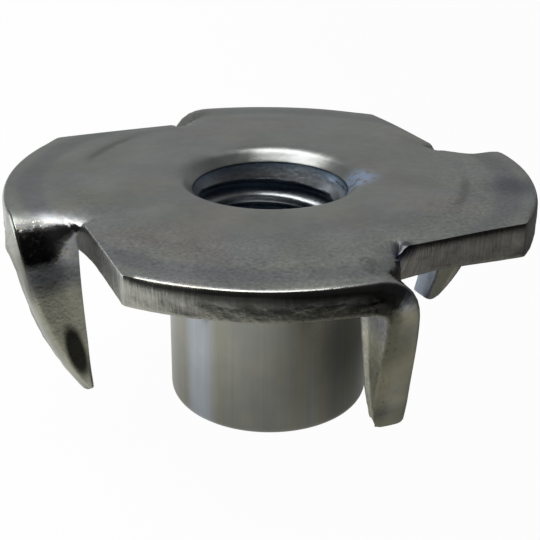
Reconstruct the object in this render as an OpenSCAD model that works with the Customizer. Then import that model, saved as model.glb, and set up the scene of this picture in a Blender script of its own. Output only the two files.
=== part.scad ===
// Four-prong tee nut, M6, pressed from one piece of sheet steel.
// Millimetres. The thread axis is Z and the part stands on its barrel end,
// at Z = 0, with the flange up. The outer faces of the prongs look along
// +X, +Y, -X and -Y. Each module below is drawn with the flange top at
// Z = 0, and tee_nut() lifts the whole part by its height.

/* [Thread and barrel] */
// Thread minor diameter, the wall of the bore
bore_diameter = 4.92; // [4.6:0.02:5.2]
// Outside diameter of the drawn barrel
barrel_diameter = 7.7; // [7.2:0.1:8.6]
// Overall height, top of the flange to the end of the barrel
overall_height = 9; // [7.6:0.1:12]
// Radius that rolls the flange top into the bore
mouth_radius = 1.3; // [0.7:0.05:1.6]
// Radius on the outside corner of the barrel end
end_radius = 0.5; // [0.2:0.05:0.9]
// Chamfer on the bore at the barrel end
end_chamfer = 0.6; // [0.3:0.05:0.7]
// Fillet under the flange where the barrel leaves it
neck_fillet = 0.4; // [0.2:0.05:1]

/* [Flange] */
// Diameter of the disc the flange is cut from
flange_diameter = 19.5; // [18.6:0.1:21]
// Sheet thickness of the flange and the prongs
sheet = 1.0; // [0.8:0.05:1.2]

/* [Prongs] */
// Width of each prong at its root, from the straight cut to the rim
prong_width = 2.1; // [1.6:0.05:2.6]
// Depth of the prong tips below the top of the flange
prong_depth = 6.8; // [5:0.1:7.4]
// Inside radius of the bend at the root of each prong
bend_radius = 0.35; // [0.2:0.05:0.8]
// How far each bend starts before the middle of its cut
bend_start = 0.52; // [0:0.02:1]
// Angle each prong leans out from square
prong_lean = 4; // [0:0.5:8]
// Radius of the curved cut along the rim side of a prong
prong_edge_radius = 22; // [16:0.5:40]
// Radius of the prong tip
tip_radius = 0.22; // [0.15:0.01:0.35]

/* [Hidden] */
$fn = 96;
zinc = [0.72, 0.74, 0.74];
prongs = 4;
lap = bend_radius;                           // how far a prong runs into the flange
reach = flange_diameter;                     // longer than anything it has to cut
flange_r = flange_diameter / 2;
bore_r = bore_diameter / 2;
barrel_r = barrel_diameter / 2;
mouth_r = bore_r + mouth_radius;             // where the roll meets the flange top
cut_distance = flange_r - prong_width;       // from the axis to the four straight cuts
bend_outer = bend_radius + sheet;
// The rim-side edge of a prong is an arc. It leaves the rim at the flange
// underside and runs into the tip circle, both in the plane of the prong.
tip_m = cut_distance + tip_radius;
tip_z = -(prong_depth - tip_radius);
tip_span = norm([tip_m - flange_r, tip_z + sheet]);
tip_along = (pow(prong_edge_radius, 2) - pow(prong_edge_radius - tip_radius, 2)
             + pow(tip_span, 2)) / (2 * tip_span);
tip_off = sqrt(pow(prong_edge_radius, 2) - pow(tip_along, 2));
tip_dir = [tip_m - flange_r, tip_z + sheet] / tip_span;
arc_m = flange_r + tip_dir[0] * tip_along + tip_dir[1] * tip_off;
arc_z = -sheet + tip_dir[1] * tip_along - tip_dir[0] * tip_off;
touch_dir = [tip_m - arc_m, tip_z - arc_z] / norm([tip_m - arc_m, tip_z - arc_z]);

// Section of the barrel and the flange, which runs past the rim
module body_section() {
    difference() {
        union() {
            translate([bore_r, -overall_height])
                square([barrel_r - bore_r, overall_height]);
            translate([bore_r, -sheet])
                square([reach, sheet]);
            neck_fillet_section();
        }
        difference() {
            translate([0, -mouth_radius])
                square([mouth_r, reach]);
            translate([mouth_r, -mouth_radius])
                circle(mouth_radius);
        }
        difference() {
            translate([barrel_r - end_radius, -overall_height - reach])
                square([reach, reach + end_radius]);
            translate([barrel_r - end_radius, -overall_height + end_radius])
                circle(end_radius);
        }
        translate([bore_r, -overall_height])
            polygon(end_chamfer * [[-1, -1], [2, -1], [-1, 2]]);
    }
}

// Inside corner between the barrel and the underside of the flange
module neck_fillet_section() {
    difference() {
        translate([barrel_r - neck_fillet / 2, -sheet - neck_fillet])
            square([neck_fillet * 1.5, neck_fillet]);
        translate([barrel_r + neck_fillet, -sheet - neck_fillet])
            circle(neck_fillet);
    }
}

// Metal that one prong is cut from: the rim beyond its straight cut
module prong_blank() {
    translate([-bend_start, -cut_distance - reach, -sheet * 2])
        cube([reach, reach, sheet * 3]);
}

// Side of one prong: lap, bend, leg
module prong_side() {
    translate([-bend_start, -bend_outer]) {
        translate([-lap, bend_radius])
            square([lap, sheet]);
        difference() {
            circle(bend_outer);
            circle(bend_radius);
            polygon([[0, 0], [0, reach], [-reach, reach], [-reach, -reach],
                     [reach, -reach], reach * [cos(prong_lean), sin(prong_lean)]]);
        }
        rotate(prong_lean)
            translate([bend_radius, -reach])
                square([sheet, reach]);
    }
}

// Front of one prong: straight on the cut side, curved on the rim side
module prong_front() {
    difference() {
        intersection() {
            translate([cut_distance, -reach])
                square([reach, 2 * reach]);
            translate([arc_m, arc_z])
                circle(prong_edge_radius);
        }
        translate([tip_m, tip_z])
            difference() {
                polygon([[0, 0], [-reach, 0], [-reach, -reach], [reach, -reach],
                         touch_dir * reach]);
                circle(tip_radius);
            }
    }
}

// One prong, outer face along +X, standing at the -Y edge, before the rim cut
module prong() {
    intersection() {
        rotate([90, 0, 0])
            linear_extrude(reach)
                prong_side();
        rotate([90, 0, -90])
            translate([0, 0, -reach / 2])
                linear_extrude(reach)
                    prong_front();
    }
}

// Barrel and flange turned as one section, the prongs, and one round rim
module tee_nut() {
    color(zinc)
    translate([0, 0, overall_height])
    intersection() {
        union() {
            difference() {
                rotate_extrude()
                    body_section();
                for (i = [0 : prongs - 1])
                    rotate(i * 360 / prongs)
                        prong_blank();
            }
            for (i = [0 : prongs - 1])
                rotate(i * 360 / prongs)
                    prong();
        }
        translate([0, 0, -reach])
            cylinder(h = 2 * reach, r = flange_r);
    }
}

tee_nut();
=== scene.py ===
"""Four-prong tee nut: a threaded barrel drawn from a flange whose rim is cut into four prongs."""
import bisect
import math
from collections import namedtuple

import bmesh
import bpy
from mathutils import Matrix, Vector, noise


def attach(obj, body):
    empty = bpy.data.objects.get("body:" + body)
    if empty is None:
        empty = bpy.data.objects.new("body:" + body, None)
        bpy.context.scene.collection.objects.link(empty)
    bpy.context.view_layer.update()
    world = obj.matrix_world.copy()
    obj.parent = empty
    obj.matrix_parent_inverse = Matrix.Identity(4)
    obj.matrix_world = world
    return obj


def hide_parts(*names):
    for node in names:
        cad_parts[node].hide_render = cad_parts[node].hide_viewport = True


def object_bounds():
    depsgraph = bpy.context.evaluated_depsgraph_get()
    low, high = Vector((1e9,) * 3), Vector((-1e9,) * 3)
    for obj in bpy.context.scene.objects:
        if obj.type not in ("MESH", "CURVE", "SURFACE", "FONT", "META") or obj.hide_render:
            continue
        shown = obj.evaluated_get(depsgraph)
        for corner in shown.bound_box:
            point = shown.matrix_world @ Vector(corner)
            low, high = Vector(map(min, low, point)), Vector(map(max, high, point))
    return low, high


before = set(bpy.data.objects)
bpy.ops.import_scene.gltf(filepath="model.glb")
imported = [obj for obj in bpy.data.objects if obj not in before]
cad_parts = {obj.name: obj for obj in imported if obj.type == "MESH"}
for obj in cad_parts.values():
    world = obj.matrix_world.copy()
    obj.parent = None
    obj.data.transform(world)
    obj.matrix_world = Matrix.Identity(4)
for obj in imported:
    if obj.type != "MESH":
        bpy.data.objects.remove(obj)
cad_low, cad_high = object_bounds()
MM = 0.001

# ---------------------------------------------------------------------------
# Camera: a long lens held close, a little above the flange and round to its
# left, rolled by half a degree. Lengths are in mm until they reach Blender.
# ---------------------------------------------------------------------------
overall_height = (cad_high.z - cad_low.z) / MM
view_turn = math.radians(-24.2)
view_rise = math.radians(19.5)
view_roll = math.radians(0.53)
view_distance = 42.77
aim = Vector((0.02, -0.01, overall_height - 3.89))
away = Vector((math.sin(view_turn) * math.cos(view_rise),
               -math.cos(view_turn) * math.cos(view_rise),
               math.sin(view_rise)))
eye = Vector((0, 0, overall_height)) + away * view_distance
backward = (eye - aim).normalized()
rightward = Vector((0, 0, 1)).cross(backward).normalized()
upward = backward.cross(rightward)
facing = Matrix((rightward, upward, backward)).transposed()

camera_data = bpy.data.cameras.new("camera")
camera_data.sensor_width = 36
camera_data.lens = 76.63
camera_data.clip_start = 1 * MM
camera_data.clip_end = 5
camera = bpy.data.objects.new("camera", camera_data)
camera.matrix_world = (Matrix.Translation(eye * MM)
                       @ (facing @ Matrix.Rotation(view_roll, 3, "Z")).to_4x4())
bpy.context.scene.collection.objects.link(camera)
bpy.context.scene.camera = camera
bpy.context.scene.view_settings.view_transform = "Standard"


# ---------------------------------------------------------------------------
# Floor and light: a broad soft lamp overhead, one low at the back left, and a
# room that is darker towards the front. The floor glows almost white to the
# camera, and the metal sees it as paper with painted shade to the right, a
# painted shadow in front and a painted pool of light to the front right.
# ---------------------------------------------------------------------------
class Wire:
    """One output socket of a node tree. Sums of Wires and numbers add Math nodes."""

    def __init__(self, tree, socket):
        self.tree = tree
        self.socket = socket

    @classmethod
    def of(cls, tree, kind, settings=None, values=None, output=0):
        """A node: its settings are made first, then the values or Wires of its sockets."""
        made = tree.nodes.new(kind)
        for name, setting in (settings or {}).items():
            if name == "stops":
                elements = made.color_ramp.elements
                while len(elements) < len(setting):
                    elements.new(1)
                for element, (place, colour) in zip(elements, setting):
                    element.position = place
                    element.color = (*colour, 1)
            else:
                setattr(made, name, setting)
        for name, value in (values or {}).items():
            if isinstance(value, Wire):
                tree.links.new(value.socket, made.inputs[name])
            else:
                made.inputs[name].default_value = value
        return cls(tree, made.outputs[output])

    def out(self, output):
        """Another output of the same node."""
        return Wire(self.tree, self.socket.node.outputs[output])

    def into(self, socket):
        self.tree.links.new(self.socket, socket)

    def maths(self, operation, *values):
        return Wire.of(self.tree, "ShaderNodeMath", {"operation": operation},
                       dict(enumerate((self,) + values)))

    def __add__(self, other):
        return self.maths("ADD", other)

    def __sub__(self, other):
        return self.maths("SUBTRACT", other)

    def __rsub__(self, other):
        return self * -1 + other

    def __mul__(self, other):
        return self.maths("MULTIPLY", other)

    def __truediv__(self, other):
        return self.maths("DIVIDE", other)

    __radd__ = __add__
    __rmul__ = __mul__

    def clipped(self, low=0, high=1):
        return self.maths("MAXIMUM", low).maths("MINIMUM", high)

    def ramped(self, start, end):
        """0 up to start, 1 from end on, and a soft S between them."""
        return Wire.of(self.tree, "ShaderNodeMapRange", {"interpolation_type": "SMOOTHSTEP"},
                       {"Value": self, "From Min": start, "From Max": end})


floor_half = 1500
paper_width = 36
# Painted shade on the paper: pale at the left and darker to the right
paper_shade_stops = [(0.0, (0.93, 0.97, 1.0)), (0.25, (0.85, 0.86, 0.86)), (0.5, (0.56, 0.56, 0.54)),
               (0.72, (0.18, 0.18, 0.17)), (1.0, (0.1, 0.1, 0.1))]
# A painted shadow on the paper in front of the nut: where it starts, where it is full, and how deep
# it is
front_start = 18
front_end = 26
front_shadow_depth = 0.93
# A painted pool of light on the paper to the front right
light_pool_right = 21
light_pool_front = 13
light_pool_inner = 4
light_pool_outer = 12
light_pool_colour = (0.52, 0.51, 0.47, 1)
camera_glow = 0.975
metal_glow = 0.68

floor_corners = [(-1, -1, 0), (1, -1, 0), (1, 1, 0), (-1, 1, 0)]
floor_mesh = bpy.data.meshes.new("floor")
floor_mesh.from_pydata([Vector(corner) * floor_half * MM for corner in floor_corners],
                       [], [(0, 1, 2, 3)])
floor = bpy.data.objects.new("floor", floor_mesh)
bpy.context.scene.collection.objects.link(floor)

floor_paper = bpy.data.materials.new("floor_paper")
floor_paper.use_nodes = True
paper_tree = floor_paper.node_tree
paper = paper_tree.nodes["Principled BSDF"]
paper_at = Wire.of(paper_tree, "ShaderNodeSeparateXYZ",
                   values={0: Wire.of(paper_tree, "ShaderNodeTexCoord", output="Object")})
paper_right = paper_at * math.cos(view_turn) + paper_at.out(1) * math.sin(view_turn)
paper_front = paper_at * math.sin(view_turn) - paper_at.out(1) * math.cos(view_turn)
# Painted shade: the paper darkens to the right
paper_with_painted_light = Wire.of(paper_tree, "ShaderNodeValToRGB", {"stops": paper_shade_stops},
                      {0: paper_right / (paper_width * MM) + 0.5})
# A painted shadow on the paper in front
front_painted_shadow = 1 - paper_front.ramped(front_start * MM, front_end * MM) * front_shadow_depth
paper_with_painted_light = Wire.of(paper_tree, "ShaderNodeVectorMath", {"operation": "SCALE"},
                      {0: paper_with_painted_light, "Scale": front_painted_shadow})
# A painted pool of light on the paper to the front right
light_pool_x = paper_right - light_pool_right * MM
light_pool_y = paper_front - light_pool_front * MM
light_pool_gap = (light_pool_x * light_pool_x + light_pool_y * light_pool_y).maths("SQRT")
light_pool_share = 1 - light_pool_gap.ramped(light_pool_inner * MM, light_pool_outer * MM)
paper_with_painted_light = Wire.of(paper_tree, "ShaderNodeMix", {"data_type": "RGBA"},
                      {0: light_pool_share, 6: paper_with_painted_light, 7: light_pool_colour}, output=2)
paper_with_painted_light.into(paper.inputs["Base Color"])
paper.inputs["Roughness"].default_value = 0.9
paper.inputs["Specular IOR Level"].default_value = 0.1
paper_glow = Wire.of(paper_tree, "ShaderNodeEmission", values={"Color": (1, 1, 1, 1)})
ray = Wire.of(paper_tree, "ShaderNodeLightPath", output="Is Camera Ray")
mirrored = ray.out("Is Glossy Ray").maths("MAXIMUM", ray.out("Is Transmission Ray"))
seen = (ray * camera_glow).maths("MAXIMUM", mirrored * paper_with_painted_light * metal_glow)
paper_mix = Wire.of(paper_tree, "ShaderNodeMixShader", values={0: seen})
paper_tree.links.new(paper.outputs[0], paper_mix.socket.node.inputs[1])
paper_glow.into(paper_mix.socket.node.inputs[2])
paper_mix.into(paper_tree.nodes["Material Output"].inputs["Surface"])
floor_mesh.materials.append(floor_paper)

room = bpy.data.worlds.new("room")
bpy.context.scene.world = room
room.use_nodes = True
room_tree = room.node_tree
way = Wire.of(room_tree, "ShaderNodeTexCoord", output="Generated")
way_x = Wire.of(room_tree, "ShaderNodeSeparateXYZ", values={0: way})
way_y = way_x.out(1)
way_up = way_x.out(2)
to_back = way_y * math.cos(view_turn) - way_x * math.sin(view_turn)
to_right = way_x * math.cos(view_turn) + way_y * math.sin(view_turn)
room_stops = [(0.0, (0.02, 0.02, 0.02)), (0.4, (0.03, 0.03, 0.032)), (0.62, (0.14, 0.14, 0.14)),
              (0.82, (0.29, 0.295, 0.29)), (1.0, (0.37, 0.375, 0.365))]
room_place = to_back * 0.5 + 0.5 - to_right.clipped() * 0.12 + way_up.clipped() * 0.1
room_light = Wire.of(room_tree, "ShaderNodeValToRGB", {"stops": room_stops}, {0: room_place})
room_light.into(room_tree.nodes["Background"].inputs["Color"])


def add_lamp(name, turn, rise, distance, width, height, brightness, colour):
    """A soft lamp aimed at the nut. brightness is how bright its face looks."""
    out = Vector((math.sin(math.radians(turn)) * math.cos(math.radians(rise)),
                  -math.cos(math.radians(turn)) * math.cos(math.radians(rise)),
                  math.sin(math.radians(rise))))
    lamp_data = bpy.data.lights.new(name, "AREA")
    lamp_data.shape = "RECTANGLE"
    lamp_data.size = width * MM
    lamp_data.size_y = height * MM
    lamp_data.energy = math.pi * brightness * width * height * MM ** 2
    lamp_data.color = colour
    lamp = bpy.data.objects.new(name, lamp_data)
    place = Vector((0, 0, overall_height / 2)) + out * distance
    lamp.matrix_world = (Matrix.Translation(place * MM)
                         @ out.to_track_quat("Z", "Y").to_matrix().to_4x4())
    bpy.context.scene.collection.objects.link(lamp)


add_lamp("lamp_overhead", -117, 76, 120, 70, 108, 4.3, (1.0, 0.99, 0.97))
add_lamp("lamp_back_left", -130, 8, 115, 60, 45, 2.2, (0.84, 0.92, 1.0))

# ---------------------------------------------------------------------------
# Flange and prongs: one blank of thin zinc-plated steel sheet. A straight slit
# frees each strip of the rim, and a die folds the strip down into a prong. The
# fold drags the end of the slit down with it, and no two prongs come out alike.
# ---------------------------------------------------------------------------
flange_r = (cad_high.x - cad_low.x) / 2 / MM
sheet = 1.0
prong_width = 2.1
cut_distance = flange_r - prong_width
corner_s = math.sqrt(flange_r ** 2 - cut_distance ** 2)
neck_r = 4.25
dish = 0.14
saddle = 0.09
saddle_turn = math.radians(60)
ripple = 0.03

# The fold, and the slit that ends partway down it
fold_inner = 0.35
fold_middle = fold_inner + sheet / 2
fold_start = 0.52
fold_ease = 0.4
fold_swell = 0.2
slit_end = 1.3
slit_web = 0.2
web_run = 0.9
slant_run = 1.1

# The fold's outer corner beside the slit: how far it is held out and up, at
# which run and over what length, and how wide it is
held_out = 0.48
held_out_run = 1.15
held_out_length = 0.55
held_up = 0.46
held_up_run = 1.55
held_up_length = 0.62
held_width = 1.1

# The leg: where its curl, twist and sweep start, and how its tip thins
curl_start = 0.3
twist_length = 4
sweep_start = 2
tip_thinning = 0.12
thinned_run = 0.35

# The flange that the fold drags down: most of it close to the slit, more of it
# on the face below, and a little further on
drag_width = 0.6
drag_near = 0.4
drag_near_below = 1.2
drag_far = 4
drag_far_share = 0.12
drop_steps = 39
undragged_s = -9.0


def smooth(t):
    """A soft S from 0 at 0 to 1 at 1."""
    t = min(max(t, 0), 1)
    return t * t * (3 - 2 * t)


def settle(x, y):
    """How far the pressed flange lies off its flat at a place on it."""
    out = min(max((math.hypot(x, y) - neck_r) / (flange_r - neck_r), 0), 1)
    turn = 2 * (math.atan2(y, x) - saddle_turn)
    wave = ripple * noise.noise(Vector((x, y, 0)) * 0.28) * out
    return -dish * out ** 1.5 - saddle * math.cos(turn) * out ** 2 + wave


def turned(lobe, s, m, z):
    """A place s along and m out from a lobe's straight cut, as x, y and z."""
    angle = lobe * math.pi / 2
    x = s * math.cos(angle) + m * math.sin(angle)
    y = s * math.sin(angle) - m * math.cos(angle)
    return Vector((x, y, overall_height + z + settle(x, y)))


class Prong:
    """One strip of the rim, folded down. run is measured down its middle from the fold's start.

    shift, sweep, depth, tip_r and burr are in mm, and lean, curl and twist in degrees.
    """

    def __init__(self, lobe, shift, lean, curl, twist, sweep, depth, tip_r, burr):
        self.lobe = lobe
        self.burr = burr
        self.twist = math.radians(twist)
        self.sweep = sweep
        self.tip_r = tip_r
        whole = math.pi / 2 - math.radians(lean)
        self.fold_run = fold_middle * whole / (1 - fold_ease)
        self.step = 0.02
        s = 0.0
        z = -sheet / 2
        angle = 0.0
        self.path = [(s, z, angle)]
        while z > tip_r - depth:
            t = min(len(self.path) * self.step / self.fold_run, 1)
            if t < fold_ease:
                share = t * t / (2 * fold_ease * (1 - fold_ease))
            elif t < 1 - fold_ease:
                share = (t - fold_ease / 2) / (1 - fold_ease)
            else:
                share = 1 - (1 - t) ** 2 / (2 * fold_ease * (1 - fold_ease))
            down = smooth((-z - curl_start * depth) / ((1 - curl_start) * depth))
            angle = whole * share - math.radians(curl) * down
            s += self.step * math.cos(angle)
            z -= self.step * math.sin(angle)
            self.path.append((s, z, angle))
        self.tip_run = (len(self.path) - 1) * self.step
        self.end_run = self.tip_run + tip_r
        # The fold is set back so that every prong's leg starts in the same place
        corner = fold_middle * math.tan(whole / 2) - fold_start
        leg = self.path[round(self.fold_run / self.step)]
        reach = leg[0] + (leg[1] + sheet / 2) / math.tan(whole)
        self.start = corner - reach + shift
        # The blank is round, so the strip is a segment of the disc, and its round
        # tip touches both the straight cut and the disc's own edge.
        self.tip_m = cut_distance + tip_r
        tip_s = math.sqrt((flange_r - tip_r) ** 2 - self.tip_m ** 2)
        self.stretch = (tip_s - self.start) / self.tip_run
        self.touch = -math.asin(tip_s / (flange_r - tip_r))
        self.table = {}
        for face in (0, sheet):
            drops = [(undragged_s, 0.0)]
            for i in range(drop_steps + 1):
                at = self.place(slit_end * i / drop_steps, cut_distance, face, settled=False)
                drops.append((at.x, -face - at.z))
            self.table[face] = drops

    def middle(self, run):
        """Along, height and slope of the middle of the sheet at a run."""
        if run <= 0:
            return self.start + run, -sheet / 2, 0.0
        i = min(int(run / self.step), len(self.path) - 2)
        s, z, angle = self.path[i]
        next_s, next_z, next_angle = self.path[i + 1]
        share = run / self.step - i
        return (self.start + s + (next_s - s) * share, z + (next_z - z) * share,
                angle + (next_angle - angle) * share)

    def place(self, run, m, depth, settled=True):
        """A point of the folded strip, depth below its outer face."""
        s, z, angle = self.middle(run)
        near_tip = min(max((run - self.end_run + thinned_run) / thinned_run, 0), 1)
        thin = 1 - tip_thinning * (1 - math.sqrt(1 - near_tip ** 2))
        out = (sheet / 2 - depth) * thin
        ds = out * math.sin(angle)
        dm = m - cut_distance
        z += out * math.cos(angle)
        # Beside the slit's end the flange holds the fold up, and its outer corner stays tight
        held = (1 - smooth(dm / held_width)) * (1 - depth / sheet)
        ds += held_out * held * math.exp(-((run - held_out_run) / held_out_length) ** 2)
        z += held_up * held * math.exp(-((run - held_up_run) / held_up_length) ** 2)
        twist = self.twist * smooth((run - slit_end) / twist_length)
        s += ds * math.cos(twist) + dm * math.sin(twist)
        m = cut_distance + dm * math.cos(twist) - ds * math.sin(twist)
        m += self.sweep * max(0, (run - sweep_start) / (self.end_run - sweep_start)) ** 2
        if not settled:
            return Vector((s, m, z))
        return turned(self.lobe, s, m, z)

    def rim_side(self, run):
        """How far out the rim side of the strip lies at a run."""
        blank_s = self.start + run * (self.stretch if run > 0 else 1)
        return math.sqrt(flange_r ** 2 - blank_s ** 2)

    def left(self, past, depth):
        """The share of the drag that is left at a distance past the slit's end."""
        near = 1 - smooth(past / (drag_near + drag_near_below * depth))
        far = 1 - smooth(past / drag_far)
        return (1 - drag_far_share) * near + drag_far_share * far

    def drop(self, s, m, depth):
        """How far the fold drags the flange down at a place beside it."""
        drops = self.table[depth]
        far_end = drops[-1][0] + drag_far
        if m < cut_distance - drag_width or s < self.start - 0.1 or s > far_end:
            return 0
        i = min(bisect.bisect(drops, (s, 0)), len(drops) - 1)
        last_s, last_drop = drops[i - 1]
        next_s, next_drop = drops[i]
        share = min((s - last_s) / (next_s - last_s), 1)
        dragged = last_drop + (next_drop - last_drop) * share
        dragged *= self.left(s - drops[-1][0], depth)
        return dragged * (1 - smooth((cut_distance - m) / drag_width))


prongs = [Prong(0, shift=0, lean=6, curl=1, twist=-9, sweep=0,
                depth=6.28, tip_r=0.4, burr=0.24),
          Prong(1, shift=-0.3, lean=3, curl=2, twist=8, sweep=-0.65,
                depth=6.48, tip_r=0.36, burr=0.1),
          Prong(2, shift=-0.33, lean=5, curl=0, twist=6, sweep=0,
                depth=6.7, tip_r=0.26, burr=0.1),
          Prong(3, shift=0.32, lean=2, curl=6, twist=4, sweep=-0.14,
                depth=6.64, tip_r=0.2, burr=0.1)]


def flange_place(lobe, s, m, depth):
    """A point of the flange itself, with what the fold beside it drags down."""
    dragged = prongs[lobe].drop(s, m, 0 if depth < sheet / 2 else sheet)
    return turned(lobe, s, m, -depth - dragged)


def cut_place(lobe, s, m, depth):
    """A point of the straight cut. It starts on the slant of the slit's end, webbed to the fold."""
    prong = prongs[lobe]
    s_top, drop_top = prong.table[0][-1]
    s_low, drop_low = prong.table[sheet][-1]
    share = min(max(depth / sheet, 0), 1)
    past = s - s_top
    slant = (s_low - s_top) * share * (1 - smooth(past / slant_run))
    dragged = (drop_top + (drop_low - drop_top) * share) * prong.left(past, share)
    web = slit_web * share * (1 - smooth(past / web_run))
    return turned(lobe, s + slant, m + web, -depth - dragged)


# One place on the outline: the surface it is on, where it is, which way the
# metal lies from it, how much of the edge's profile it takes, how round its
# corner is, and how near a prong's tip it is.
Place = namedtuple("Place", "surface along across in_along in_across reach roll tipped")
rim_steps = 38
root_steps = 8
cut_steps = 33
leg_steps = 48
tip_steps = 12
columns = 4 * (rim_steps + root_steps + 1 + cut_steps)
root_run = -0.9
corner_cut = 0.1
corner_in = 0.2
miter = math.tan(math.asin(corner_s / flange_r) / 2)
miter_run = 1.3
cut_roll = 0.22
rim_roll = 0.62
cut_start = 0.3
side_start = 0.6
side_crowding = 1.35
rim_catch_up = 0.45
slope_run = 0.03
tip_width = 0.45
tip_blend = 0.85


def prong_place(lobe, run, m, depth):
    return prongs[lobe].place(run, m, depth)


def prong_side_place(lobe, run, m, depth):
    """A point of the prong's cut side, webbed to the flange at the slit's end."""
    share = min(max(depth / sheet, 0), 1)
    web = slit_web * share * (1 - smooth((run - slit_end) / web_run))
    return prongs[lobe].place(run, m + web, depth)


def rim_places(lobe):
    """The rim, from the last lobe's corner round to the root of this lobe's prong."""
    first = -math.asin(cut_distance / flange_r)
    last = math.asin((prongs[lobe].start + root_run) / flange_r)
    corner_turn = corner_cut / flange_r
    places = []
    for i in range(rim_steps):
        turn = first + corner_turn + (last - first - corner_turn) * (i - 1) / (rim_steps - 1)
        radius = flange_r
        if i == 0:
            turn = first
            radius -= corner_in * corner_cut
        run = (turn - first) * flange_r
        aside = miter * (1 - smooth(run / miter_run))
        places.append(Place(flange_place, radius * math.sin(turn), radius * math.cos(turn),
                            -math.sin(turn) + aside * math.cos(turn),
                            -math.cos(turn) - aside * math.sin(turn), 1,
                            cut_roll + (rim_roll - cut_roll) * smooth(run), 0))
    return places


def cut_places(lobe):
    """The straight cut, from the end of the slit to the corner."""
    first = prongs[lobe].table[0][-1][0]
    last = corner_s - corner_cut
    places = []
    for i in range(1, cut_steps + 1):
        s = first + (last - first) * i / cut_steps
        aside = miter * (1 - smooth((corner_s - s) / miter_run))
        places.append(Place(cut_place, s, cut_distance, -aside, -1,
                            smooth((s - first) / cut_start), cut_roll, 0))
    return places


def prong_side_places(lobe):
    """Pairs of places, one on the rim side of the prong and one on its cut side."""
    prong = prongs[lobe]
    touch_run = prong.tip_run - prong.tip_r * math.sin(prong.touch)
    pairs = []
    for j in range(leg_steps + 1):
        share = j / leg_steps
        cut_run = slit_end + (touch_run - slit_end) * share ** side_crowding
        rim_run = cut_run - (slit_end - root_run) * (1 - smooth(share / rim_catch_up))
        slope = prong.rim_side(rim_run + slope_run) - prong.rim_side(rim_run - slope_run)
        slope /= 2 * slope_run
        size = math.hypot(1, slope)
        width = prong.rim_side(cut_run) - cut_distance
        tipped = 1 - smooth((width - tip_width) / tip_blend)
        rim_place = Place(prong_place, rim_run, prong.rim_side(rim_run),
                          slope / size, -1 / size, 1, rim_roll + (1 - rim_roll) * tipped, tipped)
        cut_side = Place(prong_side_place, cut_run, cut_distance, 0, 1,
                         smooth((cut_run - slit_end) / side_start),
                         cut_roll + (1 - cut_roll) * tipped, tipped)
        pairs.append((rim_place, cut_side))
    return pairs


def tip_places(lobe):
    """Places round the tip, from the rim side to the cut side."""
    prong = prongs[lobe]
    places = []
    for i in range(1, tip_steps):
        turn = prong.touch - (math.pi + prong.touch) * i / tip_steps
        places.append(Place(prong_place, prong.tip_run - prong.tip_r * math.sin(turn),
                            prong.tip_m + prong.tip_r * math.cos(turn),
                            math.sin(turn), -math.cos(turn), 1, 1, 1))
    return places


# The profile of a sheared edge, from the face that the punch met down to the
# other one. inset and depth are shares of the sheet, and the second pair of
# them is for the tip of a prong, which is rounder.
EdgeStep = namedtuple("EdgeStep", "inset depth tip_inset tip_depth torn lip")
edge_profile = [
    # The face, and the corner that the punch rolled
    EdgeStep(0.42, 0, 0.165, 0, 0, 0),
    EdgeStep(0.28, 0, 0.15, 0.002, 0, 0),
    EdgeStep(0.207, 0.01, 0.125, 0.01, 0, 0),
    EdgeStep(0.14, 0.037, 0.10, 0.03, 0, 0),
    EdgeStep(0.109, 0.058, 0.08, 0.05, 0, 0),
    EdgeStep(0.082, 0.082, 0.06, 0.075, 0, 0),
    EdgeStep(0.058, 0.109, 0.04, 0.105, 0, 0),
    EdgeStep(0.037, 0.14, 0.022, 0.14, 0, 0),
    EdgeStep(0.01, 0.207, 0.006, 0.21, 0, 0),
    # The burnished land
    EdgeStep(0, 0.28, 0, 0.30, 0, 0.2),
    EdgeStep(0, 0.38, 0, 0.42, 0.1, 0.3),
    EdgeStep(0, 0.50, 0, 0.55, 0.3, 0.5),
    # Torn metal
    EdgeStep(0.006, 0.65, 0, 0.68, 0.9, 0.7),
    EdgeStep(0.008, 0.79, 0, 0.79, 1, 0.85),
    EdgeStep(0.002, 0.90, 0.012, 0.87, 1, 0.95),
    EdgeStep(0, 0.97, 0.03, 0.94, 1, 1),
    # The burr, and the face on its side
    EdgeStep(0.015, 1.02, 0.06, 0.985, 1, 1),
    EdgeStep(0.07, 1.012, 0.09, 1, 0.6, 0.9),
    EdgeStep(0.16, 1, 0.13, 1, 0, 0.3),
    EdgeStep(0.34, 1, 0.165, 1, 0, 0)]
map_step = 10
plated_steps = 3
tear = 0.028
tear_coarse = 2.6
tear_fine = 6.1
swell_run = 1.2
swell_length = 1.05
cut_burr = 0.09
burr_length = 1.5
lip_depth = 0.23
lip_turn = math.radians(-45)
lip_spread = math.radians(22)

body = bmesh.new()
edge_map = body.loops.layers.uv.new("edge")
PLATED, SHEARED, DRAWN, TAPPED = range(4)


def add_rows(rows, material, map_rows=None):
    """Quads between rows of points, each row as long as the next."""
    made = [[body.verts.new(point * MM) for point in row] for row in rows]
    for j in range(len(made) - 1):
        for i in range(len(made[j]) - 1):
            corners = ((j, i), (j, i + 1), (j + 1, i + 1), (j + 1, i))
            face = body.faces.new([made[a][b] for a, b in corners])
            face.smooth = True
            face.material_index = material
            if map_rows:
                for loop, (a, b) in zip(face.loops, corners):
                    loop[edge_map].uv = map_rows[a][b]


def edge_inset(place, step):
    """Where a step of the profile lies, along and across, at a place on the outline."""
    inset = step.inset * (place.roll if 0 < step.depth < 1 else 1)
    inset = (inset + (step.tip_inset - inset) * place.tipped) * place.reach
    return place.along + inset * place.in_along, place.across + inset * place.in_across


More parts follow.
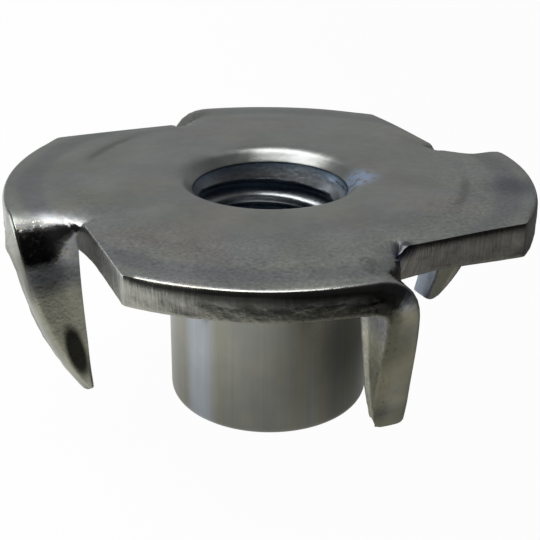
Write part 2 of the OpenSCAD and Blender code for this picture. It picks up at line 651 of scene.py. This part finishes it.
def edge_point(lobe, place, step):
    """A point on the sheared edge, torn, swollen beside a fold, and with its burr."""
    along, across = edge_inset(place, step)
    depth = (step.depth + (step.tip_depth - step.depth) * place.tipped) * sheet
    even = place.surface(lobe, along, across, depth)
    torn = tear * step.torn * place.reach * noise.noise(even * tear_coarse)
    torn += 0.5 * tear * step.torn * place.reach * noise.noise(even * tear_fine)
    turn = math.atan2(even.y, even.x) - lip_turn
    lip = lip_depth * step.lip * math.exp(-(turn / lip_spread) ** 2) * (1 - place.tipped)
    if place.surface in (prong_place, prong_side_place):
        burr = prongs[lobe].burr if place.surface is prong_place else cut_burr
        lip = burr * step.lip * smooth(place.along / burr_length) * (1 - place.tipped)
    swell = 0
    if place.surface is prong_place:
        past = (place.along - swell_run) / swell_length
        swell = fold_swell * step.lip * math.exp(-past ** 2) * (1 - place.tipped)
    inward = torn - swell
    return place.surface(lobe, along + inward * place.in_along,
                         across + inward * place.in_across, depth + torn + lip)


outline = []
flange_edges = {0: [], sheet: []}
for lobe in range(4):
    pairs = prong_side_places(lobe)
    tip = tip_places(lobe)
    rim = rim_places(lobe)
    cut = cut_places(lobe)
    around = rim + [pair[0] for pair in pairs] + tip + [pair[1] for pair in reversed(pairs)] + cut
    outline += [(lobe, place) for place in around]
    # Both faces of the prong: rows across it, down to the middle of its tip
    tip_pairs = list(zip(tip, reversed(tip)))[:tip_steps // 2]
    for depth, step in ((0, edge_profile[0]), (sheet, edge_profile[-1])):
        rows = []
        for rim_side, cut_side in pairs + tip_pairs:
            a = Vector(edge_inset(rim_side, step))
            b = Vector(edge_inset(cut_side, step))
            if cut_side.surface is prong_side_place and depth:
                b.y += slit_web * (1 - smooth((b.x - slit_end) / web_run))
            rows.append([prong_place(lobe, *a.lerp(b, i / root_steps), depth)
                         for i in range(root_steps + 1)])
        add_rows(rows, PLATED)
        flange_edges[depth] += [rim_place.surface(lobe, *edge_inset(rim_place, step), depth)
                                for rim_place in rim]
        flange_edges[depth] += rows[0]
        flange_edges[depth] += [cut_side.surface(lobe, *edge_inset(cut_side, step), depth)
                                for cut_side in cut]
outline.append(outline[0])
edge_rows = [[edge_point(lobe, place, step) for lobe, place in outline] for step in edge_profile]
edge_run = [0.0]
for here, there in zip(edge_rows[map_step], edge_rows[map_step][1:]):
    edge_run.append(edge_run[-1] + (there - here).length)
edge_maps = [[(run, step.depth) for run in edge_run] for step in edge_profile]
sheared = slice(plated_steps - 1, 1 - plated_steps)
add_rows(edge_rows[:plated_steps], PLATED)
add_rows(edge_rows[sheared], SHEARED, edge_maps[sheared])
add_rows(edge_rows[-plated_steps:], PLATED)

# Both faces of the flange: rings from the mouth, or the neck, out to the edge
mouth_r = 3.62
mouth_roll = 0.62
mouth_sink = math.radians(45)
mouth_sag = 0.03
sag_r = 3.2
sag_width = 1.5
first_angle = math.atan2(-corner_s, -cut_distance)


def sag(radius):
    """How far the top has sunk round the mouth, where the barrel was drawn out of it."""
    return -mouth_sag * (1 - smooth((radius - sag_r) / sag_width))


def ring(radius, z):
    """A level ring round the axis, closed on itself."""
    return [Vector((radius * math.cos(first_angle + i * 2 * math.pi / columns),
                    radius * math.sin(first_angle + i * 2 * math.pi / columns),
                    overall_height + z)) for i in range(columns + 1)]


def flange_drop(x, y, depth):
    """How far the four folds drag the flange down at a place on it."""
    total = 0
    for prong in prongs:
        angle = prong.lobe * math.pi / 2
        s = x * math.cos(angle) + y * math.sin(angle)
        m = x * math.sin(angle) - y * math.cos(angle)
        total += prong.drop(s, m, depth)
    return total


ring_shares = [0.03, 0.08, 0.14, 0.21, 0.28, 0.35, 0.42, 0.49, 0.56, 0.63, 0.7, 0.77, 0.83,
               0.88, 0.925, 0.965]
for depth, inner in ((0, ring(mouth_r, sag(mouth_r))), (sheet, ring(neck_r, -sheet))):
    outer = flange_edges[depth]
    outer.append(outer[0])
    rows = [inner]
    for share in ring_shares:
        row = []
        for start, end in zip(inner, outer):
            point = start.lerp(end, share)
            point.z = overall_height - depth + settle(point.x, point.y)
            point.z -= flange_drop(point.x, point.y, depth)
            if depth == 0:
                point.z += sag(math.hypot(point.x, point.y))
            row.append(point)
        rows.append(row)
    rows.append(outer)
    add_rows(rows, PLATED)

# ---------------------------------------------------------------------------
# Mouth and barrel: the same sheet, drawn down through a die. The mouth is
# sunk as a cone with a soft lip, and the barrel ends in a round corner.
# ---------------------------------------------------------------------------
barrel_r = 3.85
neck_fillet = neck_r - barrel_r
end_round = 0.5
end_chamfer = 0.6
thread_minor_r = 2.46
thread_start_r = 2.9
thread_lead = math.radians(58)
roll_end_r = mouth_r - mouth_roll * math.sin(mouth_sink)
roll_end_z = mouth_roll * (math.cos(mouth_sink) - 1) + sag(roll_end_r)
thread_top = roll_end_z - (roll_end_r - thread_start_r) * math.tan(mouth_sink)
roll_steps = 8
cone_steps = 6
mouth_rings = []
for i in range(roll_steps + 1):
    turn = mouth_sink * i / roll_steps
    radius = mouth_r - mouth_roll * math.sin(turn)
    mouth_rings.append(ring(radius, mouth_roll * (math.cos(turn) - 1) + sag(radius)))
for i in range(1, cone_steps + 1):
    radius = roll_end_r + (thread_start_r - roll_end_r) * i / cone_steps
    mouth_rings.append(ring(radius, roll_end_z - (roll_end_r - radius) * math.tan(mouth_sink)))
add_rows(mouth_rings, PLATED)

wall_top = -sheet - neck_fillet
wall_end = -overall_height + end_round
bore_end_r = thread_minor_r + end_chamfer
quarter = math.pi / 2
fillet_steps = 6
wall_steps = 10
corner_steps = 8
barrel_rings = []
for i in range(fillet_steps + 1):
    turn = quarter * i / fillet_steps
    barrel_rings.append(ring(neck_r - neck_fillet * math.sin(turn),
                             wall_top + neck_fillet * math.cos(turn)))
for i in range(1, wall_steps):
    barrel_rings.append(ring(barrel_r, wall_top + (wall_end - wall_top) * i / wall_steps))
for i in range(corner_steps + 1):
    turn = quarter * i / corner_steps
    barrel_rings.append(ring(barrel_r - end_round + end_round * math.cos(turn),
                             wall_end - end_round * math.sin(turn)))
face_outer_r = barrel_r - end_round
for share in (0.15, 0.85, 1):
    barrel_rings.append(ring(face_outer_r + (bore_end_r - face_outer_r) * share,
                             -overall_height))
add_rows(barrel_rings, DRAWN)

# ---------------------------------------------------------------------------
# Thread: M6 by 1 mm, tapped in the drawn bore and not cut to its full depth. A
# grid is rolled into the bore, and its rows follow the helix, so that each row
# keeps its place on the thread.
# ---------------------------------------------------------------------------
thread_pitch = 1.0
thread_major_r = 2.95
samples_per_turn = 16
thread_phase = 8
crest_flat = 1
cut_in_depth = 0.3
nudge = 0.01
seam = 0.0005

tapped_zinc = bpy.data.materials.new("tapped_zinc")
tree = bpy.data.node_groups.new("tapped_bore", "GeometryNodeTree")
tree.interface.new_socket("Geometry", in_out="OUTPUT", socket_type="NodeSocketGeometry")
bore_sizes = {"Pitch": thread_pitch, "Minor radius": thread_minor_r,
              "Major radius": thread_major_r, "Start radius": thread_start_r,
              "Cone slope": 1 / math.tan(thread_lead), "Top": overall_height + thread_top,
              "End chamfer": end_chamfer, "First angle": first_angle}
sockets = {name: tree.interface.new_socket(name, in_out="INPUT", socket_type="NodeSocketFloat")
           for name in bore_sizes}
entry = tree.nodes.new("NodeGroupInput")
pitch, minor, major, start_r, cone_slope, top, chamfer, start = (
    Wire(tree, entry.outputs[name]) for name in bore_sizes)

turns = math.ceil((overall_height + thread_top) / thread_pitch) + 1
thread_rows = turns * samples_per_turn
bore_grid = Wire.of(tree, "GeometryNodeMeshGrid",
                    values={"Size X": 1.0, "Size Y": float(thread_rows),
                            "Vertices X": columns + 1, "Vertices Y": thread_rows + 1})
at_x = Wire.of(tree, "ShaderNodeSeparateXYZ",
               values={0: Wire.of(tree, "GeometryNodeInputPosition")})
turn_share = at_x + 0.5
row_number = at_x.out(1) + thread_rows / 2
helix_z = top + pitch * turn_share - row_number * pitch / samples_per_turn
bore_z = helix_z.maths("MAXIMUM", 0).maths("MINIMUM", top)
# Rows from the nearest crest. The nudge keeps a whole row number clear of the wrap
phase_row = row_number + (thread_phase + nudge)
from_crest = phase_row.maths("FLOORED_MODULO", samples_per_turn)
from_crest = (from_crest - samples_per_turn / 2 - nudge).maths("ABSOLUTE")
cut_in = (top - bore_z).ramped(0, cut_in_depth)
groove = from_crest.ramped(crest_flat, samples_per_turn / 2)
cut_r = minor + (major - minor) * groove * cut_in
cone_r = start_r - (top - bore_z) * cone_slope
chamfer_r = minor + (chamfer - bore_z).maths("MAXIMUM", 0)
bore_r = cut_r.maths("MAXIMUM", cone_r).maths("MAXIMUM", chamfer_r)
bore_angle = start + turn_share * (2 * math.pi)
rolled = Wire.of(tree, "ShaderNodeCombineXYZ",
                 values={0: bore_r * bore_angle.maths("COSINE") * MM,
                         1: bore_r * bore_angle.maths("SINE") * MM,
                         2: bore_z * MM})
bore_skin = Wire.of(tree, "GeometryNodeSetPosition",
                    values={"Geometry": bore_grid, "Position": rolled})
bore_skin = Wire.of(tree, "GeometryNodeMergeByDistance",
                    values={"Geometry": bore_skin, "Distance": seam * MM})
bore_skin = Wire.of(tree, "GeometryNodeRealizeInstances", values={"Geometry": bore_skin})
bore_skin = Wire.of(tree, "GeometryNodeSetMaterial",
                    values={"Geometry": bore_skin, "Material": tapped_zinc})
bore_skin.into(tree.nodes.new("NodeGroupOutput").inputs[0])

bore = bpy.data.objects.new("bore", bpy.data.meshes.new("bore"))
bpy.context.scene.collection.objects.link(bore)
tapping = bore.modifiers.new("tapping", "NODES")
tapping.node_group = tree
for name, size in bore_sizes.items():
    tapping[sockets[name].identifier] = float(size)
depsgraph = bpy.context.evaluated_depsgraph_get()
bore_mesh = bpy.data.meshes.new_from_object(bore.evaluated_get(depsgraph))
bpy.data.objects.remove(bore)

faces_before = len(body.faces)
body.from_mesh(bore_mesh)
body.faces.ensure_lookup_table()
for face in body.faces[faces_before:]:
    face.material_index = TAPPED
    face.smooth = True

# ---------------------------------------------------------------------------
# One pressing: the faces, edges, barrel and thread are one closed skin, in a
# bright zinc plate that is smoothest where the dies rubbed it.
# ---------------------------------------------------------------------------
weld = 0.0009
sliver = 0.0001
sharp_from = math.radians(40)
bmesh.ops.remove_doubles(body, verts=body.verts, dist=weld * MM)
bmesh.ops.dissolve_degenerate(body, edges=body.edges, dist=sliver * MM)
bmesh.ops.recalc_face_normals(body, faces=body.faces)
for edge in body.edges:
    if len(edge.link_faces) == 2 and edge.calc_face_angle() > sharp_from:
        edge.smooth = False
nut_mesh = bpy.data.meshes.new("pressed_nut")
body.to_mesh(nut_mesh)
body.free()
nut = bpy.data.objects.new("pressed_nut", nut_mesh)
bpy.context.scene.collection.objects.link(nut)


# A soft round spot, laid on for painted shade and painted highlights: its middle, how far it is
# full, where it ends, its strength and colour
Mark = namedtuple("Mark", "x y z full end strength colour")


class Coat:
    """A zinc surface being painted: its node tree, its shader, and a place on it in mm."""

    def __init__(self, material):
        material.use_nodes = True
        self.tree = material.node_tree
        self.shader = self.tree.nodes["Principled BSDF"]
        self.shader.inputs["Metallic"].default_value = 1
        where = self.node("ShaderNodeTexCoord", output="Object")
        self.place = self.node("ShaderNodeVectorMath", {"operation": "SCALE"},
                               {0: where, "Scale": 1 / MM})
        self.x = self.node("ShaderNodeSeparateXYZ", values={0: self.place})
        self.y = self.x.out(1)
        self.z = self.x.out(2)
        self.radius = (self.x * self.x + self.y * self.y).maths("SQRT")

    def node(self, kind, settings=None, values=None, output=0):
        return Wire.of(self.tree, kind, settings, values, output)

    def cloud(self, size, detail=2, stretch=(1, 1, 1), seed=0, place=None):
        """Soft noise between 0 and 1, in lumps of about size mm drawn out by stretch."""
        scale = [1 / (size * length) for length in stretch]
        shaped = self.node("ShaderNodeVectorMath", {"operation": "MULTIPLY_ADD"},
                           {0: place or self.place, 1: scale, 2: (seed, seed * 1.7, seed * 2.3)})
        return self.node("ShaderNodeTexNoise",
                         values={"Vector": shaped, "Scale": 1, "Detail": detail})

    def mixed(self, share, one, other):
        """one where the share is 0 and the other where it is 1."""
        return self.node("ShaderNodeMix", {"data_type": "RGBA"},
                         {0: share, 6: one if isinstance(one, Wire) else (*one, 1),
                          7: other if isinstance(other, Wire) else (*other, 1)}, output=2)

    def shaded(self, colour, level):
        """The colour made lighter or darker by a level that goes with the place."""
        return self.node("ShaderNodeVectorMath", {"operation": "SCALE"},
                         {0: colour, "Scale": level})

    def near(self, x, y, z, full, end):
        """1 within full mm of a place, fading to 0 at end mm."""
        gap = self.node("ShaderNodeVectorMath", {"operation": "DISTANCE"},
                        {0: self.place, 1: (x, y, z)}, output="Value")
        return 1 - gap.ramped(full, end)

    def marked(self, colour, marks):
        """The colour with each mark laid over it in turn."""
        for mark in marks:
            share = self.near(mark.x, mark.y, mark.z, mark.full, mark.end) * mark.strength
            colour = self.mixed(share, colour, mark.colour)
        return colour

    def finish(self, colour, rough, height, height_mm):
        """Joins the colour, the roughness and a height, which is 1 at height_mm."""
        colour.into(self.shader.inputs["Base Color"])
        rough.into(self.shader.inputs["Roughness"])
        relief = self.node("ShaderNodeBump",
                           values={"Strength": 1, "Distance": height_mm * MM, "Height": height})
        relief.into(self.shader.inputs["Normal"])


# Faces of the sheet: a bright zinc plate, patchy in tint, grainy towards the
# rim, with rings and arcs of painted shade and a coarser peel where the sheet is bent
plated_zinc = bpy.data.materials.new("plated_zinc")
plate = Coat(plated_zinc)
cool_zinc = (0.345, 0.352, 0.362)
green_zinc = (0.35, 0.37, 0.345)
warm_zinc = (0.385, 0.365, 0.345)
blue_shade_tone = (0.32, 0.335, 0.375)
fold_yellow = (0.45, 0.38, 0.24)
glint_blue = (0.47, 0.6, 0.85)
soot_black = (0.1, 0.09, 0.08)
leg_light_olive = (0.56, 0.56, 0.45)
corner_painted_shade = (0.07, 0.075, 0.09)
# Painted shade: a dark blue spot in the dent at a slit's end, a dark spot that dulls the highlight
# at that slit's corner, and a dark reflection on the right lobe
plate_painted_shade = [Mark(1.0, -7.7, 8.4, 0.2, 0.5, 1, (0.07, 0.08, 0.2)),
               Mark(1.35, -7.55, 8.8, 0.2, 0.5, 0.85, corner_painted_shade),
               Mark(7.7, -4.4, 8.8, 0.3, 1.5, 0.8, (0.15, 0.165, 0.2))]
shade_ring_r = 7.3
arc_r = 7.15
outer_shade_ring_r = 8.75
leg_shade_x = -8.03
leg_shade_z = 3.9
rolling_turn = 0.42

lump = plate.cloud(4.2, 2, seed=3)
other_lump = plate.cloud(3.1, 2, seed=11)
stain = plate.cloud(1.9, 3, seed=5)
grain = plate.cloud(0.13, 2, seed=1)
fine = plate.cloud(0.33, 3, seed=7)
peel = plate.cloud(0.19, 2, seed=15)
speck = plate.cloud(0.28, 2, seed=17)
rolled_way = plate.node("ShaderNodeVectorRotate", {"rotation_type": "Z_AXIS"},
                        {"Vector": plate.place, "Angle": rolling_turn})
drawn_out = plate.cloud(0.16, 2, (9, 1, 1), seed=9, place=rolled_way)

# Where the grain is raised, where the sheet is bent, and how low on a prong
peened = (plate.radius.ramped(4.5, 7.5) * (plate.y * -0.12 + 0.55).clipped(0.15, 1)).clipped()
bent = plate.radius.ramped(7.3, 7.8) * plate.z.ramped(7.1, 7.6)
bent = bent * (1 - plate.z.ramped(8.62, 8.8))
low = 1 - plate.z.ramped(7.4, 8.0)

# Rings of painted shade, and two darker arcs of painted shade from another ring, for dark
# reflections in the dish
from_ring = (plate.radius - shade_ring_r - (stain - 0.5) * 0.5).maths("ABSOLUTE")
shade_ring = 1 - from_ring.ramped(0.05, 0.5)
shade_ring = shade_ring * plate.cloud(5, 1, seed=21).ramped(0.44, 0.6) * 0.6
from_arc = (plate.radius - arc_r - (fine - 0.5) * 0.2).maths("ABSOLUTE")
arc_shade = plate.near(5.6, -4.3, 9, 0.9, 2.2) + plate.near(-4.8, 5.7, 9, 0.9, 2.2)
arc_shade = arc_shade * (1 - from_arc.ramped(0.04, 0.3))
from_outer = (plate.radius - outer_shade_ring_r).maths("ABSOLUTE")
outer_shade_ring = (1 - from_outer.ramped(0.2, 0.65)) * (1 - bent)

colour = plate.mixed(lump.ramped(0.42, 0.62), cool_zinc, green_zinc)
colour = plate.mixed(other_lump.ramped(0.48, 0.68) * 0.7, colour, warm_zinc)
colour = plate.mixed(outer_shade_ring * 0.5, colour, blue_shade_tone)
colour = plate.mixed(bent * peel.ramped(0.5, 0.72) * 0.5, colour, fold_yellow)
# Painted glints, bluish, on the right of the mouth's cone
mouth_painted_glints = plate.near(2.8, -1.3, 8.8, 0.4, 1.2) * speck.ramped(0.36, 0.5)
colour = plate.mixed(mouth_painted_glints, colour, glint_blue)
# Spots of painted shade
colour = plate.marked(colour, plate_painted_shade)
soot = plate.near(-0.36, -8.24, 9, 0.1, 0.5) + plate.near(-0.45, -8.9, 9, 0.1, 0.45)
soot = soot.clipped() * speck.ramped(0.42, 0.56) * 0.6
colour = plate.mixed(soot, colour, soot_black)
# Painted light: the prongs are lighter and more olive lower down
colour = plate.mixed(1 - plate.z.ramped(5.9, 6.9), colour, leg_light_olive)

# The left prong: painted shade over the left of its fold, with sparkling gaps where the highlight
# shows, and a slanted patch of painted shade on its leg
fold_painted_shade = 1 - grain.ramped(0.54, 0.62) * peel.ramped(0.45, 0.55)
fold_painted_shade = bent * (-1 * plate.x).ramped(8.4, 8.9) * fold_painted_shade
along = plate.z - leg_shade_z
across = plate.x - leg_shade_x + along * 0.2
leg_painted_shade = (across * across * 7 + along * along * 0.85).maths("SQRT") + (stain - 0.5) * 0.5
leg_painted_shade = (1 - leg_painted_shade.ramped(0.6, 1.15)) * (-1 * plate.y).ramped(0.5, 0.8)

# How light the plate is, how rough, and how it stands up
level = 0.86 + stain.ramped(0.3, 0.7) * 0.14 + (fine - 0.5) * 0.22
level = level + (grain.ramped(0.5, 0.75) - grain.ramped(0.5, 0.25)) * (peened * 0.22)
level = level * (1 - arc_shade * 0.3) * (1 - shade_ring * 0.2) * (1 - outer_shade_ring * 0.16)
level = level * (1 - fold_painted_shade * 0.7) * (1 - leg_painted_shade * 0.93)
# Painted shade on the left leg's shoulder
level = level * (1 - plate.near(-8.9, -1.1, 6.9, 0.4, 1.1) * 0.4)
colour = plate.shaded(colour, level)
rough = 0.31 + stain.ramped(0.3, 0.7) * 0.07 + peened * grain * 0.09 - bent * 0.15
rough = rough + (drawn_out - 0.5) * 0.08 - low * 0.08 + shade_ring * 0.04
height = grain * (0.2 + peened * 0.5) + fine * 0.6 + drawn_out * 0.25 + peel * bent * 1.2
height = height + plate.cloud(1.5, 1, seed=31) * 2.5
plate.finish(colour, rough, height, height_mm=0.008)

# Sheared edges: a burnished land above torn metal. Straight cuts carry the
# punch's upright lines. The map runs along the edge, and down through the sheet
sheared_zinc = bpy.data.materials.new("sheared_zinc")
shear = Coat(sheared_zinc)
burnished_zinc = (0.36, 0.36, 0.345)
torn_zinc = (0.36, 0.355, 0.30)
straight_zinc = (0.34, 0.33, 0.30)
leg_olive = (0.49, 0.48, 0.35)
reflection_blue = (0.46, 0.5, 0.58)
left_light_colour = (0.5, 0.5, 0.44)
nick_black = (0.04, 0.035, 0.03)
# Painted shade: a dark blue spot in the dent at a slit's end, and a dark spot at that slit's corner
rim_painted_shade = [Mark(0.9, -7.65, 8.45, 0.1, 0.45, 1, (0.1, 0.12, 0.3)),
             Mark(1.4, -7.65, 8.8, 0.2, 0.55, 0.85, corner_painted_shade)]
rim_painted_highlight = Mark(-7.03, -6.93, 8.5, 0.7, 1.8, 0.6, (0.68, 0.68, 0.6))
burr_painted_highlight = Mark(0.12, -9.5, 8.1, 0.1, 0.5, 1, (0.62, 0.68, 0.8))

edge_place = shear.node("ShaderNodeUVMap", {"uv_map": "edge"})
edge_down = shear.node("ShaderNodeSeparateXYZ", values={0: edge_place}).out(1)
ragged = shear.cloud(0.5, 3, seed=4) - 0.5
upright = shear.cloud(0.05, 2, (1, 12, 1), seed=2, place=edge_place)
upright_wide = shear.cloud(0.14, 1, (1, 12, 1), seed=6, place=edge_place)
pits = shear.cloud(0.16, 3, seed=8)
patch = shear.cloud(1.4, 3, seed=13)

# Which edges are straight cuts, which are on a prong, and where metal is torn
straight = shear.x.maths("ABSOLUTE").maths("MAXIMUM", shear.y.maths("ABSOLUTE"))
straight = 1 - straight.ramped(7.75, 7.95)
on_prong = 1 - shear.z.ramped(7.5, 7.95)
torn = (edge_down + ragged * 0.5).ramped(0.5, 0.8) * (1 - straight * 0.7)

colour = shear.mixed(torn, burnished_zinc, torn_zinc)
colour = shear.mixed(straight * (1 - on_prong) * 0.8, colour, straight_zinc)
colour = shear.mixed(on_prong * patch.ramped(0.3, 0.6) * 0.8, colour, leg_olive)
# A painted bluish reflection on the right prong's inner face
reflected_on_leg = on_prong * shear.x.ramped(5.5, 6) * shear.y.ramped(-0.7, -0.2)
colour = shear.mixed(reflected_on_leg, colour, reflection_blue)
colour = shear.marked(colour, rim_painted_shade)
# Painted light on the rim towards the left
left_painted_light = (-1 * shear.x).ramped(2.5, 6)
colour = shear.mixed(left_painted_light * (1 - straight) * 0.8, colour, left_light_colour)
# A painted highlight on the front left rim
colour = shear.marked(colour, [rim_painted_highlight])
nicks = shear.near(-6.2, -7.55, 8.88, 0.05, 0.22)
nicks = nicks.maths("MAXIMUM", shear.near(0.42, -8.9, 5.9, 0.1, 0.34))
nicks = nicks.maths("MAXIMUM", shear.near(0.62, -8.8, 5.4, 0.08, 0.28))
blotch = shear.near(-0.8, -9.6, 8.15, 0.1, 0.6) * pits.ramped(0.42, 0.55)
colour = shear.mixed(nicks.maths("MAXIMUM", blotch), colour, nick_black)
# A painted bluish highlight on the front prong's rim side
colour = shear.marked(colour, [burr_painted_highlight])

# Painted shade along the front right cut and on the left leg's shoulder, and painted
# light on the front leg
level = 0.85 + (patch - 0.5) * 0.5 + (pits.ramped(0.3, 0.42) - 1) * (torn * 0.35)
scored = (upright - 0.5) * (straight * 0.5) + (upright_wide - 0.5) * 0.35
level = level + scored * (1 - on_prong * 0.85)
level = level * (1 - shear.x.ramped(1.6, 2.4) * (straight * (1 - on_prong)) * 0.24)
level = level * (1 - shear.near(-9.7, -1.3, 6.9, 0.6, 1.3) * 0.42)
level = level * (1 + shear.near(0.6, -9.3, 4.9, 0.7, 1.6) * 0.4)
colour = shear.shaded(colour, level)
rough = 0.2 + torn * 0.24 + on_prong * 0.16 + straight * 0.1 + (pits - 0.5) * 0.12
height = pits * (torn * 1.8 + 0.25) + upright * (straight * 0.9 + 0.15)
height = height + upright_wide * 0.5 + patch * 0.8
shear.finish(colour, rough, height, height_mm=0.012)

# Barrel: rubbed bright by the draw die, with faint upright lines, one bluish
# painted highlight, and painted shade towards the right
drawn_zinc = bpy.data.materials.new("drawn_zinc")
drawn = Coat(drawn_zinc)
barrel_olive = (0.345, 0.345, 0.285)
barrel_green = (0.335, 0.34, 0.31)
barrel_warm = (0.36, 0.35, 0.29)
highlight_blue = (0.5, 0.54, 0.58)
highlight_x = -3.4
highlight_y = -1.5

lines = drawn.cloud(0.12, 2, (1, 1, 30), seed=5)
broad_lines = drawn.cloud(0.7, 2, (1, 1, 14), seed=9)
mottle = drawn.cloud(1.1, 3, seed=12)
colour = drawn.mixed(broad_lines.ramped(0.4, 0.62), barrel_olive, barrel_green)
colour = drawn.mixed(mottle.ramped(0.45, 0.7) * 0.5, colour, barrel_warm)
# A painted bluish highlight, upright on the barrel's left
gap_x = drawn.x - highlight_x
gap_y = drawn.y - highlight_y
from_highlight = (gap_x * gap_x + gap_y * gap_y).maths("SQRT")
colour = drawn.mixed(1 - from_highlight.ramped(0.2, 0.95), colour, highlight_blue)
level = 0.88 + (lines - 0.5) * 0.2 + (mottle - 0.5) * 0.24
# Painted shade towards the right
barrel_right = drawn.x * math.cos(view_turn) + drawn.y * math.sin(view_turn)
level = level * (1 - barrel_right.ramped(1.6, 2.6) * 0.3)
colour = drawn.shaded(colour, level)
rough = 0.24 + (lines - 0.5) * 0.1 + (mottle - 0.5) * 0.1
height = lines * 0.5 + broad_lines * 1.5 + mottle * 1.2 + drawn.cloud(0.15, 2, seed=3) * 0.3
drawn.finish(colour, rough, height, height_mm=0.006)

# Thread: painted highlight on the crests and flanks, painted shade in the roots,
# patches of thinner plate, and a painted shadow line where the thread starts below the mouth
tapped = Coat(tapped_zinc)
crest_highlight = (0.5, 0.53, 0.56)
root_shade_blue = (0.2, 0.27, 0.36)
thin_green = (0.30, 0.33, 0.30)

deep = (tapped.radius - thread_minor_r) / (thread_major_r - thread_minor_r)
chatter = tapped.cloud(0.2, 2, (1, 1, 0.5), seed=6)
thin = tapped.cloud(0.8, 2, seed=2)
colour = tapped.mixed(deep.ramped(0.2, 0.9), crest_highlight, root_shade_blue)
colour = tapped.mixed(thin.ramped(0.5, 0.7) * 0.4, colour, thin_green)
colour = tapped.shaded(colour, 0.85 + (chatter - 0.5) * 0.5)
# A painted shadow line where the thread starts
height_down = overall_height + thread_top - tapped.z
colour = tapped.shaded(colour, 0.3 + height_down.ramped(0.02, 0.1) * 0.7)
rough = 0.3 + deep.clipped() * 0.1 + (chatter - 0.5) * 0.14
tapped.finish(colour, rough, chatter + thin, height_mm=0.008)

for material in (plated_zinc, sheared_zinc, drawn_zinc, tapped_zinc):
    nut_mesh.materials.append(material)

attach(nut, "root")
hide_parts("tee_nut")
